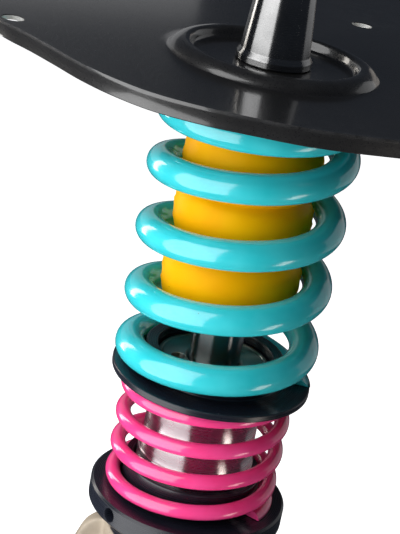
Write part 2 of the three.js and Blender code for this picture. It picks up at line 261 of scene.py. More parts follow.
def make_turning_marks():
    """Lathe marks: rings along Z on walls, and rings round Z on end faces."""
    tree, given, made = shader_group("turning_marks", {"Spacing": 0.3}, ("Height",))
    place = add_node(tree, "ShaderNodeSeparateXYZ", {0: object_place(tree)})
    squares = [math_node(tree, "MULTIPLY", place.outputs[i], place.outputs[i]) for i in (0, 1)]
    radius = math_node(tree, "SQRT", math_node(tree, "ADD", *squares))
    normal = tree.nodes.new("ShaderNodeNewGeometry").outputs["Normal"]
    facing = add_node(tree, "ShaderNodeSeparateXYZ", {0: normal})
    on_end = math_node(tree, "GREATER_THAN", math_node(tree, "ABSOLUTE", facing.outputs[2]), 0.7)
    along = add_node(tree, "ShaderNodeMix", {0: on_end, 2: place.outputs[2], 3: radius}).outputs[0]
    scale = math_node(tree, "DIVIDE", 1 / MM, given["Spacing"])
    noise = add_node(tree, "ShaderNodeTexNoise", {"W": along, "Scale": scale, "Detail": 3},
                     noise_dimensions="1D")
    tree.links.new(noise.outputs[0], made["Height"])
    return tree


def make_edge_wear():
    """A broken mask on convex edges, where the finish is rubbed thin."""
    tree, given, made = shader_group("edge_wear", {"Reach": 0.06, "Patch Size": 3}, ("Mask",))
    edge = tree.nodes.new("ShaderNodeNewGeometry").outputs["Pointiness"]
    over = math_node(tree, "SUBTRACT", edge, 0.5)
    rise = math_node(tree, "DIVIDE", over, given["Reach"])
    scale = math_node(tree, "DIVIDE", 1 / MM, given["Patch Size"])
    patches = add_node(tree, "ShaderNodeTexNoise",
                       {"Vector": object_place(tree), "Scale": scale, "Detail": 5})
    broken = math_node(tree, "SUBTRACT", math_node(tree, "MULTIPLY", patches.outputs[0], 1.8), 0.4)
    mask = add_node(tree, "ShaderNodeMath", {0: rise, 1: broken}, operation="MULTIPLY", use_clamp=True)
    tree.links.new(mask.outputs[0], made["Mask"])
    return tree


EFFECTS = {
    "grain": make_grain(),
    "specks": make_specks(),
    "turning_marks": make_turning_marks(),
    "edge_wear": make_edge_wear(),
}


# ---- finishes ----
class Finish:
    """A material round one Principled shader, with short calls for what feeds it."""

    def __init__(self, name, colour, roughness, metallic=0.0, **constants):
        self.material = bpy.data.materials.new(name)
        self.material.use_nodes = True
        self.tree = self.material.node_tree
        self.shader = self.tree.nodes["Principled BSDF"]
        self.colour = (*colour, 1)
        self.set("Base Color", self.colour)
        self.set("Roughness", roughness)
        self.set("Metallic", metallic)
        for label, value in constants.items():
            self.set(label.replace("_", " "), value)

    def set(self, label, value):
        self.shader.inputs[label].default_value = value

    def feed(self, label, output):
        self.tree.links.new(output, self.shader.inputs[label])

    def effect(self, name, **values):
        group = add_node(self.tree, "ShaderNodeGroup", node_tree=EFFECTS[name])
        for label, value in values.items():
            group.inputs[label.replace("_", " ")].default_value = value
        return group.outputs

    def blend(self, amount, low, high):
        """A colour that goes from low to high with amount."""
        values = {0: amount}
        for socket, colour in ((6, low), (7, high)):
            values[socket] = colour if isinstance(colour, bpy.types.NodeSocket) else (*colour[:3], 1)
        return add_node(self.tree, "ShaderNodeMix", values, data_type="RGBA").outputs[2]

    def remap(self, value, low, high, start=0.3, end=0.7):
        """Low at start and high at end."""
        values = {"Value": value, "From Min": start, "From Max": end, "To Min": low, "To Max": high}
        return add_node(self.tree, "ShaderNodeMapRange", values).outputs[0]

    def bump(self, height, depth, strength=1.0):
        """Height from 0 to 1 raises the surface by depth millimetres."""
        values = {"Height": height, "Distance": depth * MM, "Strength": strength}
        if self.shader.inputs["Normal"].is_linked:
            values["Normal"] = self.shader.inputs["Normal"].links[0].from_socket
        self.feed("Normal", add_node(self.tree, "ShaderNodeBump", values).outputs[0])


def powder_coat(name, colour, pale, deep):
    """Gloss powder coat: a faint orange peel, slow shifts of shade and a few trapped specks."""
    coat = Finish(name, colour, 0.2, Coat_Weight=0.7, Coat_Roughness=0.04)
    grain = coat.effect("grain", Grain_Size=1.1, Mottle_Size=14)
    shade = coat.blend(coat.remap(grain["Mottle"], 0, 1), deep, pale)
    specks = coat.effect("specks", Spacing=5, Size=0.16, Share=0.22)["Mask"]
    dark = [part * 0.35 for part in colour]
    coat.feed("Base Color", coat.blend(specks, shade, dark))
    coat.feed("Roughness", coat.remap(grain["Grain"], 0.16, 0.24))
    coat.bump(grain["Grain"], 0.006)
    coat.bump(specks, 0.03)
    return coat.material


def satin_black():
    """Satin black paint on pressed sheet, faintly brown, with fine grain and rubbed edges."""
    paint = Finish("satin_black", (0.008, 0.008, 0.008), 0.32, Coat_Weight=0.9, Coat_Roughness=0.11)
    grain = paint.effect("grain", Grain_Size=0.55, Mottle_Size=16)
    shade = paint.blend(paint.remap(grain["Mottle"], 0, 1), (0.006, 0.006, 0.0065), (0.01, 0.0095, 0.0095))
    fine = paint.blend(paint.remap(grain["Grain"], 0, 0.5), shade, (0.018, 0.017, 0.016))
    wear = paint.effect("edge_wear", Reach=0.12, Patch_Size=5)["Mask"]
    worn = paint.blend(paint.remap(wear, 0, 0.2, 0, 1), fine, (0.3, 0.31, 0.33))
    dust = paint.effect("specks", Spacing=6, Size=0.14, Share=0.25)["Mask"]
    paint.feed("Base Color", paint.blend(dust, worn, (0.35, 0.34, 0.32)))
    paint.feed("Roughness", paint.remap(grain["Grain"], 0.26, 0.38))
    paint.bump(grain["Grain"], 0.012)
    return paint.material


def turned_metal(name, colour, roughness, spacing, depth, spread=0.06, stain=0.08):
    """Bare turned or ground metal: lathe marks that draw reflections out along the axis, uneven
    polish and a faint stain."""
    metal = Finish(name, colour, roughness, 1.0, Anisotropic=1.0, Anisotropic_Rotation=0.25)
    round_z = add_node(metal.tree, "ShaderNodeTangent", direction_type="RADIAL", axis="Z")
    metal.feed("Tangent", round_z.outputs[0])
    marks = metal.effect("turning_marks", Spacing=spacing)["Height"]
    grain = metal.effect("grain", Grain_Size=0.8, Mottle_Size=9)
    dull = [part * (1 - 2 * stain) for part in colour]
    metal.feed("Base Color", metal.blend(metal.remap(grain["Mottle"], 0, 1), colour, dull))
    rough = metal.remap(marks, roughness - spread / 2, roughness + spread / 2)
    metal.feed("Roughness", math_node(metal.tree, "ADD", rough, metal.remap(grain["Mottle"], 0, spread)))
    metal.bump(marks, depth)
    return metal.material


def black_anodised():
    """Black anodised aluminium: fine turning under the film, rubbed edges and specks of dust."""
    film = Finish("black_anodised", (0.009, 0.011, 0.018), 0.28)
    marks = film.effect("turning_marks", Spacing=0.35)["Height"]
    grain = film.effect("grain", Grain_Size=0.3, Mottle_Size=10)
    shade = film.blend(film.remap(grain["Mottle"], 0, 1), (0.007, 0.009, 0.016), (0.012, 0.014, 0.023))
    wear = film.effect("edge_wear", Reach=0.16, Patch_Size=4)["Mask"]
    worn = film.blend(film.remap(wear, 0, 0.5, 0, 1), shade, (0.16, 0.16, 0.17))
    dust = film.effect("specks", Spacing=5, Size=0.14, Share=0.3)["Mask"]
    film.feed("Base Color", film.blend(dust, worn, (0.4, 0.4, 0.4)))
    film.feed("Roughness", film.remap(marks, 0.24, 0.33))
    film.bump(marks, 0.004)
    return film.material


def yellow_foam():
    """Closed-cell bump stop foam: waxy amber skin with pin holes and a soft uneven surface."""
    foam = Finish("yellow_foam", (0.96, 0.43, 0.002), 0.45, Specular_IOR_Level=0.04)
    grain = foam.effect("grain", Grain_Size=1.4, Mottle_Size=20)
    shade = foam.blend(foam.remap(grain["Mottle"], 0, 1), (0.95, 0.4, 0.001), (0.99, 0.48, 0.002))
    pits = foam.effect("specks", Spacing=5, Size=0.2, Share=0.3)["Mask"]
    foam.feed("Base Color", foam.blend(pits, shade, (0.3, 0.12, 0.002)))
    foam.feed("Roughness", foam.remap(grain["Grain"], 0.38, 0.48))
    foam.bump(grain["Grain"], 0.03)
    foam.bump(math_node(foam.tree, "MULTIPLY", pits, -1.0), 0.05)
    return foam.material


def blasted_casting():
    """Bead-blasted cast aluminium, warm grey."""
    cast = Finish("blasted_casting", (0.42, 0.35, 0.27), 0.6, 0.35)
    grain = cast.effect("grain", Grain_Size=0.5, Mottle_Size=12)
    shade = cast.blend(cast.remap(grain["Mottle"], 0, 1), (0.36, 0.3, 0.235), (0.47, 0.4, 0.31))
    wear = cast.effect("edge_wear", Reach=0.1, Patch_Size=3)["Mask"]
    cast.feed("Base Color", cast.blend(cast.remap(wear, 0, 0.5, 0, 1), shade, (0.62, 0.56, 0.48)))
    cast.feed("Roughness", cast.remap(grain["Grain"], 0.52, 0.7))
    cast.bump(grain["Grain"], 0.05)
    cast.bump(grain["Mottle"], 0.15)
    return cast.material


def bare_edge():
    """The drilled edge of a coated sheet: pale bare metal with fine scratches."""
    edge = Finish("bare_edge", (0.62, 0.62, 0.6), 0.45, 0.2)
    grain = edge.effect("grain", Grain_Size=0.3, Mottle_Size=3)
    edge.feed("Base Color", edge.blend(edge.remap(grain["Mottle"], 0, 1), (0.7, 0.7, 0.68), (0.5, 0.5, 0.48)))
    edge.feed("Roughness", edge.remap(grain["Grain"], 0.38, 0.52))
    edge.bump(grain["Grain"], 0.01)
    return edge.material


def moulded(name, colour, roughness, grain_depth):
    """Rubber or nylon: an even moulded colour with a fine skin texture."""
    skin = Finish(name, colour, roughness)
    grain = skin.effect("grain", Grain_Size=0.35, Mottle_Size=7)
    deep = [part * 0.8 for part in colour]
    skin.feed("Base Color", skin.blend(skin.remap(grain["Mottle"], 0, 1), colour, deep))
    skin.feed("Roughness", skin.remap(grain["Grain"], roughness - 0.06, roughness + 0.06))
    skin.bump(grain["Grain"], grain_depth)
    return skin.material


FINISHES = {
    "black-plate": satin_black(),
    "dark-polished-steel": turned_metal("dark_polished_steel", (0.34, 0.34, 0.34), 0.24,
                                        spacing=0.25, depth=0.0012),
    "zinc-steel": turned_metal("zinc_steel", (0.56, 0.56, 0.53), 0.34,
                               spacing=0.4, depth=0.003, stain=0.15),
    "chrome-rod": turned_metal("chrome_rod", (0.36, 0.38, 0.4), 0.2,
                               spacing=0.2, depth=0.0004, spread=0.03),
    "turquoise-powder": powder_coat("turquoise_powder", (0.04, 0.62, 0.69), (0.055, 0.65, 0.72),
                                    (0.025, 0.58, 0.65)),
    "pink-powder": powder_coat("pink_powder", (1.0, 0.06, 0.28), (1.0, 0.08, 0.32), (0.98, 0.045, 0.24)),
    "yellow-foam": yellow_foam(),
    "black-anodised": black_anodised(),
    "polished-stainless": turned_metal("polished_stainless", (0.64, 0.61, 0.63), 0.25,
                                       spacing=0.3, depth=0.0008),
    # Satin aluminium: the grey is the metal's own colour, and the faint green in it is a painted reflection
    # of the turquoise spring.
    "satin-aluminium": turned_metal("satin_aluminium_painted_green_reflection", (0.3, 0.32, 0.3), 0.3,
                                    spacing=0.5, depth=0.004),
    "cast-beige": blasted_casting(),
    "black-rubber": moulded("black_rubber", (0.022, 0.022, 0.021), 0.7, grain_depth=0.03),
    "white-nylon": moulded("white_nylon", (0.72, 0.7, 0.63), 0.5, grain_depth=0.015),
    "bronze": turned_metal("bronze", (0.5, 0.32, 0.15), 0.36, spacing=0.4, depth=0.003),
    "sintered-steel": turned_metal("sintered_steel", (0.3, 0.29, 0.27), 0.5,
                                   spacing=0.6, depth=0.01),
}

BARE_EDGE = bare_edge()


# ---- mesh helpers ----
def span(node):
    """A CAD node's outer radius, lowest and highest point, in millimetres."""
    low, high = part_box(node)
    return high.x / MM, low.z / MM, high.z / MM


def finished_mesh(name, bm):
    """The mesh object of a bmesh: faces outwards, smooth but for its true edges."""
    bmesh.ops.remove_doubles(bm, verts=bm.verts, dist=1e-7)
    bmesh.ops.recalc_face_normals(bm, faces=bm.faces)
    mesh = bpy.data.meshes.new(name)
    bm.to_mesh(mesh)
    bm.free()
    return finished_object(name, mesh)


def finished_object(name, mesh):
    mesh.shade_smooth()
    mesh.set_sharp_from_angle(angle=SMOOTH_BELOW)
    piece = bpy.data.objects.new(name, mesh)
    bpy.context.scene.collection.objects.link(piece)
    return piece


def with_modifiers_applied(piece):
    """The piece with what its modifiers make as its own mesh."""
    graph = bpy.context.evaluated_depsgraph_get()
    mesh = bpy.data.meshes.new_from_object(piece.evaluated_get(graph))
    piece.modifiers.clear()
    piece.data = mesh
    mesh.shade_smooth()
    mesh.set_sharp_from_angle(angle=SMOOTH_BELOW)
    return piece


def shaped_by(piece, operation, tools):
    """Cuts, joins or meets the piece with each tool, and removes the tools."""
    for tool in tools:
        change = piece.modifiers.new(operation, "BOOLEAN")
        change.operation = operation
        change.solver = "EXACT"
        change.object = tool
    with_modifiers_applied(piece)
    for tool in tools:
        bpy.data.objects.remove(tool)
    return piece


def take_finish(piece, node):
    piece.data.materials.clear()
    piece.data.materials.append(FINISHES[SLOT_OF[node]])


def stand_for(piece, node):
    """The piece rides where the CAD node does, takes its finish and is shown in its place."""
    take_finish(piece, node)
    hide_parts(node)
    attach(piece, BODY_OF[node])
    return piece


def eased(profile, radius, steps=4):
    """The outline with each real corner made a small arc; a third number is a corner's own radius.
    A point close by each end of an arc keeps the shading of the straight runs flat."""
    least_turn = math.radians(20)
    support = 0.3
    made = []
    count = len(profile)
    for i, corner in enumerate(profile):
        here = Vector(corner[:2])
        back = Vector(profile[i - 1][:2]) - here
        ahead = Vector(profile[(i + 1) % count][:2]) - here
        reach = corner[2] if len(corner) > 2 else radius
        turn = math.pi - back.angle(ahead)
        if here.x < 1e-6 or turn < least_turn or reach <= 0:
            made.append(here)
            continue
        run = min(reach * math.tan(turn / 2), 0.45 * back.length, 0.45 * ahead.length)
        start = here + back.normalized() * run
        end = here + ahead.normalized() * run
        made.append(start + back.normalized() * min(support, 0.1 * back.length))
        for k in range(steps + 1):
            t = k / steps
            made.append(start * (1 - t) ** 2 + here * 2 * t * (1 - t) + end * t ** 2)
        made.append(end + ahead.normalized() * min(support, 0.1 * ahead.length))
    return made


def thread_rings(profile, low, high, pitch):
    """The outline with close rings where a thread is cut."""
    rings_per_turn = 8
    made = []
    for here, ahead in zip(profile, profile[1:] + profile[:1]):
        made.append(here)
        upright = abs(here.x - ahead.x) < 1e-6 and ahead.y > here.y
        if not upright or here.y > low + 1e-3 or ahead.y < high - 1e-3:
            continue
        rings = round((high - low) / pitch * rings_per_turn)
        made += [Vector((here.x, low + (high - low) * k / rings)) for k in range(rings + 1)]
    return made


def polar(turn, reach, height):
    """A point in metres; turn is its share of a whole turn, reach and height are in millimetres."""
    angle = turn * 2 * math.pi
    return (reach * MM * math.cos(angle), reach * MM * math.sin(angle), height * MM)


def turned(name, profile, ease=0.3, segments=ROUND, thread=None):
    """A closed solid turned about Z from a closed outline of radius and height, in millimetres.
    thread is its lowest and highest point, pitch, depth and the radius outside which it is cut; the
    turns rise counter-clockwise."""
    outline = eased(profile, ease)
    if thread:
        low, high, pitch, depth, cut_outside = thread
        outline = thread_rings(outline, low, high, pitch)
    bm = bmesh.new()
    rings = []
    for radius, height in outline:
        if radius < 1e-6:
            rings.append([bm.verts.new((0, 0, height * MM))])
            continue
        threaded = thread and low < height < high and radius > cut_outside
        ring = []
        for k in range(segments):
            turn = k / segments
            reach = radius
            if threaded:
                wave = (height / pitch - turn) % 1
                reach -= depth * abs(2 * wave - 1)
            ring.append(bm.verts.new(polar(turn, reach, height)))
        rings.append(ring)
    close_rings(bm, rings)
    return finished_mesh(name, bm)


def close_rings(bm, rings):
    """The faces from each ring to the following one, and from the last to the first."""
    for ring, following in zip(rings, rings[1:] + rings[:1]):
        join_rings(bm, ring, following)



def join_rings(bm, ring, following):
    """The faces between two rings of points; either may be one point."""
    count = max(len(ring), len(following))
    if len(ring) == len(following) == 1:
        return
    for k in range(count):
        corners = [ring[k % len(ring)], ring[(k + 1) % len(ring)],
                   following[(k + 1) % len(following)], following[k % len(following)]]
        bm.faces.new(list(dict.fromkeys(corners)))


def collar(name, outer, inner, low, high, ease=0.4):
    return turned(name, [(inner, low), (outer, low), (outer, high), (inner, high)], ease)


def block(name, size, centre, turn=Matrix.Identity(4)):
    """A box tool, given in millimetres and then turned."""
    bm = bmesh.new()
    place = Matrix.Translation(Vector(centre) * MM) @ Matrix.Diagonal((*[s * MM for s in size], 1))
    bmesh.ops.create_cube(bm, size=1, matrix=turn @ place)
    return finished_mesh(name, bm)


def moved(piece, matrix):
    piece.data.transform(matrix)
    return piece


def about_z(degrees):
    return Matrix.Rotation(math.radians(degrees), 4, "Z")


ALONG_X = Matrix.Rotation(math.radians(90), 4, "Y")
ALONG_Y = Matrix.Rotation(math.radians(-90), 4, "X")


# ---- coil springs, by geometry nodes ----
def coil_tree():
    """Geometry nodes that wind a wire: an even pitch between two closed ends, ground flat."""
    tree = bpy.data.node_groups.new("coil", "GeometryNodeTree")
    sizes = ("Coil Radius", "Wire Radius", "Start Height", "Pitch", "Low Pitch", "High Pitch",
             "Low Tip", "Low Join", "High Join", "High Tip", "Floor", "Ceiling")
    for label in sizes:
        tree.interface.new_socket(label, in_out="INPUT", socket_type="NodeSocketFloat")
    for label in ("Steps", "Sides"):
        tree.interface.new_socket(label, in_out="INPUT", socket_type="NodeSocketInt")
    tree.interface.new_socket("Material", in_out="INPUT", socket_type="NodeSocketMaterial")
    tree.interface.new_socket("Geometry", in_out="OUTPUT", socket_type="NodeSocketGeometry")
    given = tree.nodes.new("NodeGroupInput").outputs

    line = add_node(tree, "GeometryNodeMeshLine", {"Count": given["Steps"], "Offset": (0, 0, 1)})
    path = add_node(tree, "GeometryNodeMeshToCurve", {0: line.outputs[0]}).outputs[0]
    share = tree.nodes.new("GeometryNodeSplineParameter").outputs["Factor"]
    swing = math_node(tree, "SUBTRACT", given["High Tip"], given["Low Tip"])
    turn = math_node(tree, "ADD", given["Low Tip"], math_node(tree, "MULTIPLY", share, swing))
    open_low = math_node(tree, "MAXIMUM", turn, given["Low Join"])
    active = math_node(tree, "MINIMUM", open_low, given["High Join"])
    climb = math_node(tree, "MULTIPLY", active, given["Pitch"])
    below = math_node(tree, "SUBTRACT", turn, open_low)
    above = math_node(tree, "SUBTRACT", open_low, active)
    for part, pitch in ((below, "Low Pitch"), (above, "High Pitch")):
        climb = math_node(tree, "ADD", climb, math_node(tree, "MULTIPLY", part, given[pitch]))
    climb = math_node(tree, "DIVIDE", climb, 360)
    height = math_node(tree, "ADD", climb, given["Start Height"])
    angle = math_node(tree, "RADIANS", turn)
    flat = [math_node(tree, "MULTIPLY", math_node(tree, kind, angle), given["Coil Radius"])
            for kind in ("COSINE", "SINE")]
    centre = add_node(tree, "ShaderNodeCombineXYZ", {0: flat[0], 1: flat[1], 2: height}).outputs[0]
    wound = add_node(tree, "GeometryNodeSetPosition", {"Geometry": path, "Position": centre})

    section = add_node(tree, "GeometryNodeCurvePrimitiveCircle",
                       {"Resolution": given["Sides"], "Radius": given["Wire Radius"]})
    wire = add_node(tree, "GeometryNodeCurveToMesh",
                    {"Curve": wound.outputs[0], "Profile Curve": section.outputs[0], "Fill Caps": True})
    place = tree.nodes.new("GeometryNodeInputPosition").outputs[0]
    spot = add_node(tree, "ShaderNodeSeparateXYZ", {0: place}).outputs
    raised = math_node(tree, "MAXIMUM", spot[2], given["Floor"])
    kept = math_node(tree, "MINIMUM", raised, given["Ceiling"])
    ground = add_node(tree, "ShaderNodeCombineXYZ", {0: spot[0], 1: spot[1], 2: kept})
    faced = add_node(tree, "GeometryNodeSetPosition",
                     {"Geometry": wire.outputs[0], "Position": ground.outputs[0]})
    real = add_node(tree, "GeometryNodeRealizeInstances", {0: faced.outputs[0]})
    coated = add_node(tree, "GeometryNodeSetMaterial",
                      {"Geometry": real.outputs[0], "Material": given["Material"]})
    tree.links.new(coated.outputs[0], tree.nodes.new("NodeGroupOutput").inputs[0])
    return tree


COIL_TREE = coil_tree()


def coil(name, node, lower, upper, **sizes):
    """A wound spring in place of a CAD node; lower and upper, the bodies at its two ends, are not used."""
    low, high = span(node)[1:]
    sizes["Floor"] = low * MM
    sizes["Ceiling"] = high * MM
    sizes["Material"] = FINISHES[SLOT_OF[node]]
    holder = bpy.data.objects.new(name, bpy.data.meshes.new(name))
    bpy.context.scene.collection.objects.link(holder)
    winder = holder.modifiers.new("wind", "NODES")
    winder.node_group = COIL_TREE
    sockets = {item.name: item.identifier for item in COIL_TREE.interface.items_tree
               if item.in_out == "INPUT"}
    for label, value in sizes.items():
        winder[sockets[label.replace("_", " ")]] = value
    with_modifiers_applied(holder)
    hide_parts(node)
    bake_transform(holder)


def wind_springs():
    plate_top = MOUNTS["top_plate_face"][2]
    coil("main_coil", "main_spring", "divider", "top", Coil_Radius=36.56 * MM, Wire_Radius=6.31 * MM,
         Start_Height=plate_top - 34.83 * MM, Pitch=28.22 * MM, Low_Pitch=20 * MM,
         High_Pitch=12.8 * MM, Low_Tip=-1440.0, Low_Join=-1104.0, High_Join=95.0, High_Tip=752.0,
         Steps=640, Sides=36)
    coil("tender_coil", "tender_spring", "perch_seat", "divider", Coil_Radius=34.19 * MM,
         Wire_Radius=3.27 * MM, Start_Height=plate_top - 155.36 * MM, Pitch=14.67 * MM,
         Low_Pitch=6.1 * MM, High_Pitch=6.1 * MM, Low_Tip=-1110.0, Low_Join=-869.0,
         High_Join=291.0, High_Tip=543.0, Steps=520, Sides=28)


# ---- top plate ----
PLATE_OUTLINE = [
    (0, -82), (17, -82), (34, -79), (52, -74), (72, -68), (90, -57), (101, -40),
    (103, -15), (98, 25), (93, 75), (88, 125), (76, 160), (52, 177), (20, 180),
    (-20, 168), (-62, 135), (-95, 90), (-114, 45), (-118.6, 12), (-115, -6),
    (-106.4, -17.5), (-94, -29.3), (-82, -42), (-70, -55), (-57, -66), (-40, -76), (-20, -81),
]
PLATE_HOLE_RADIUS = 4.4
# The raised ring: radii, with heights above the sheet's top and above its underside.
BEAD_TOP = [
    (47, 0), (43.4, 0), (42.8, 0.1), (42.4, 0.45), (41.8, 1.3), (41, 2.3), (40, 3.15), (38.8, 3.8),
    (37.4, 4.2), (36, 4.35), (34.9, 4.2), (34.2, 3.8), (33.8, 3.2), (33.3, 1.6), (32.9, 0.5),
    (32.4, 0.1), (31.6, 0), (8.2, 0), (7.5, -0.1), (7.2, -0.5),
]
BEAD_UNDERSIDE = [
    (7.2, 0), (30.4, 0), (32.6, 0.1), (34, 0.8), (35.2, 3.4), (36.4, 4.2), (38.2, 4.1), (39.4, 2.6),
    (40.6, 0.7), (42.2, 0), (47, 0),
]


def smooth_loop(points, per_span):
    """A closed centripetal curve through the points."""
    loop = []
    count = len(points)
    for i in range(count):
        before, start, end, after = (Vector(points[(i + k - 1) % count]) for k in range(4))
        gap_in, gap, gap_out = ((b - a).length ** 0.5 for a, b in
                                ((before, start), (start, end), (end, after)))
        leave = ((start - before) / gap_in - (end - before) / (gap_in + gap) + (end - start) / gap) * gap
        arrive = ((end - start) / gap - (after - start) / (gap + gap_out) + (after - end) / gap_out) * gap
        for k in range(per_span):
            t = k / per_span
            loop.append(start * (2 * t ** 3 - 3 * t ** 2 + 1) + leave * (t ** 3 - 2 * t ** 2 + t)
                        + end * (3 * t ** 2 - 2 * t ** 3) + arrive * (t ** 3 - t ** 2))
    return loop


def smooth_profile(points, per_span):
    """An open smooth curve through the points."""
    made = []
    last = len(points) - 1
    for i in range(last):
        before, start, end, after = (Vector(points[min(max(i + k - 1, 0), last)]) for k in range(4))
        for k in range(per_span):
            t = k / per_span
            made.append(0.5 * ((2 * start) + (end - before) * t
                               + (2 * before - 5 * start + 4 * end - after) * t ** 2
                               + (3 * start - before - 3 * end + after) * t ** 3))
    return [*made, Vector(points[-1])]


def inset_loop(loop, inset):
    """The loop moved inwards; the loop runs counter-clockwise."""
    made = []
    for i, point in enumerate(loop):
        along = (loop[(i + 1) % len(loop)] - loop[i - 1]).normalized()
        made.append(point + Vector((-along.y, along.x)) * inset)
    return made


def ring_points(radius, height, count=160):
    turns = [2 * math.pi * k / count for k in range(count)]
    return [(radius * math.cos(a), radius * math.sin(a), height) for a in turns]


def rings_joined(bm, loops):
    """Faces through a row of point loops; returns the first and last loop's points."""
    rows = [[bm.verts.new(Vector(point) * MM) for point in loop] for loop in loops]
    for row, following in zip(rows, rows[1:]):
        join_rings(bm, row, following)
    return rows[0], rows[-1]


def flat_fill(bm, borders, facing):
    """A flat sheet between an outer border and the holes in it."""
    edges = []
    for border in borders:
        for a, b in zip(border, border[1:] + border[:1]):
            edges.append(bm.edges.get((a, b)) or bm.edges.new((a, b)))
    bmesh.ops.triangle_fill(bm, use_beauty=True, edges=edges, normal=facing)


def plate_sheet(top, low):
    """The sheet with its rolled-under rim and its raised ring, before the holes are drilled."""
    under = top - SHEET
    loop = smooth_loop(PLATE_OUTLINE, 9)
    rolled = [(0, top - 0.9), (0.3, top - 1.6), (0.9, top - 3), (1.7, top - 4.9), (2.4, low - 1)]
    inside = [(inset + SHEET, height) for inset, height in rolled]
    corners = [(9, under), (SHEET + 0.5, under, 1), *inside[2:-1], (*inside[-1], 0.6),
               (*rolled[-1], 0.6), *rolled[-2::-1], (0, top, 0.9), (9, top)]
    rim = eased(corners, 0, 6)
    loops = [[(*point, height) for point in inset_loop(loop, inset)] for inset, height in rim[1:-1]]
    shoulder = [(*point, top) for point in inset_loop(loop, 2.6)]
    inner_shoulder = [(*point, under) for point in inset_loop(loop, 4)]
    bead = [(radius, top + rise) for radius, rise in BEAD_TOP]
    bead += [(radius, under + rise) for radius, rise in BEAD_UNDERSIDE]
    bm = bmesh.new()
    under_edge, top_edge = rings_joined(bm, [inner_shoulder, *loops, shoulder])
    bead_top, bead_under = rings_joined(bm, [ring_points(*spot) for spot in bead])
    flat_fill(bm, [top_edge, bead_top], (0, 0, 1))
    flat_fill(bm, [under_edge, bead_under], (0, 0, -1))
    return finished_mesh("pressed_plate", bm)


def pressed_plate():
    """Pressed sheet with a down-turned rim, a raised ring round the rod and drilled holes."""
    top = MOUNTS["top_plate_face"][2] / MM
    under = top - SHEET
    boxes = [OPENINGS[f"plate_hole_{side}"] for side in ("left", "back", "right")]
    centres = [(Vector(low_corner) + Vector(high_corner)).xy / 2 for low_corner, high_corner in boxes]
    mouth = PLATE_HOLE_RADIUS + 0.4
    hole = [(0, under - 0.6), (PLATE_HOLE_RADIUS, under - 0.6), (PLATE_HOLE_RADIUS, top - 0.3),
            (mouth, top + 0.1), (mouth, top + 4), (0, top + 4)]
    drills = [moved(turned("plate_drill", hole, 0, 48), Matrix.Translation((*centre, 0)))
              for centre in centres]
    sheet = plate_sheet(top, span("top_plate")[1])
    plate = stand_for(shaped_by(sheet, "DIFFERENCE", drills), "top_plate")
    plate.data.materials.append(BARE_EDGE)
    for face in plate.data.polygons:
        nearest = min((face.center.xy - centre).length for centre in centres) / MM
        if abs(face.normal.z) < 0.5 and abs(nearest - PLATE_HOLE_RADIUS) < 0.15:
            face.material_index = 1



# ---- the rod and what is on it ----
def chromed_rod():
    outer, low, high = span("piston_rod")
    shoulder = 313.9
    rod = [(0, low), (6, low, 0.5), (6, 136), (outer, 136, 0.8), (outer, shoulder, 0.5),
           (STUD_RADIUS, shoulder, 0), (STUD_RADIUS, 336, 0), (STUD_RADIUS, high, 1.2), (0, high)]
    thread = (337, high - 1.6, 1.5, 0.75, STUD_RADIUS - 0.1)
    stand_for(turned("rod", rod, thread=thread), "piston_rod")


def cone_and_washer():
    outer, low, high = span("tapered_spacer")
    cone = [(STUD_BORE, low), (outer, low, 0.3), (outer, low + 2.5, 0.5), (14, low + 4.5, 0.8),
            (11.4, high - 0.6, 0.3), (10.8, high, 0.2), (STUD_BORE, high)]
    stand_for(turned("cone_spacer", cone), "tapered_spacer")
    outer, low, high = span("top_washer")
    stand_for(collar("washer", outer, STUD_BORE, low, high), "top_washer")


def hexagon_nut():
    """A hexagon with both its ends turned to a chamfer and its bore countersunk."""
    outer, low, high = span("top_nut")
    blank = turned("nut", [(0, low), (outer, low), (outer, high), (0, high)], 0, 6)
    chamfer = [(0, low - 1), (11.2, low - 0.3), (13.2, low + 1.1), (13.2, high - 1.1),
               (11.2, high + 0.1), (0, high + 1)]
    sink = STUD_BORE + 0.8
    bore = [(0, low - 2), (sink, low - 2), (sink, low + 0.2), (STUD_BORE, low + 1),
            (STUD_BORE, high - 1), (sink, high - 0.2), (sink, high + 2), (0, high + 2)]
    face = turned("nut_face", chamfer, 0)
    drill = turned("nut_drill", bore, 0)
    shaped_by(blank, "INTERSECT", [face])
    stand_for(shaped_by(blank, "DIFFERENCE", [drill]), "top_nut")


def stop_cup():
    outer, low, high = span("bump_stop_cup")
    inner = outer - 1.4
    cup = [(STUD_BORE, high - 1.5), (inner, high - 1.5, 0.6), (inner, low), (outer, low),
           (outer, high, 1), (STUD_BORE, high)]
    stand_for(turned("stop_cup", cup), "bump_stop_cup")



FLASH_REACH = 0.9  # half the width of a moulding flash, in degrees
# The foam's radii, with heights above its lower end.
STOP_OUTLINE = [
    (19.5, 0.6), (22.5, 1.8), (25.6, 5), (27.9, 11), (28.8, 20), (28.4, 27), (26.6, 32), (25, 34),
    (26.4, 36), (28.2, 42), (28.5, 49.5), (27.6, 55), (25, 59), (26.8, 61), (28.6, 67), (28.2, 74),
    (26.4, 83), (24.2, 88), (25.2, 91), (25.2, 107.6),
]


def flash_height(turn, height):
    """How far the moulding flash stands out: two ragged fins, half a turn apart."""
    off = min(abs(turn - 0.5), turn, 1 - turn) * 360
    if off > FLASH_REACH:
        return 0
    waves = ((0.3, 0.9, 0), (0.25, 2.3, 1), (0.15, 5.1, 0))
    ragged = 0.5 + sum(depth * math.sin(height * rate + shift) for depth, rate, shift in waves)
    return max(0.1, 0.55 * ragged) * (1 - off / FLASH_REACH)


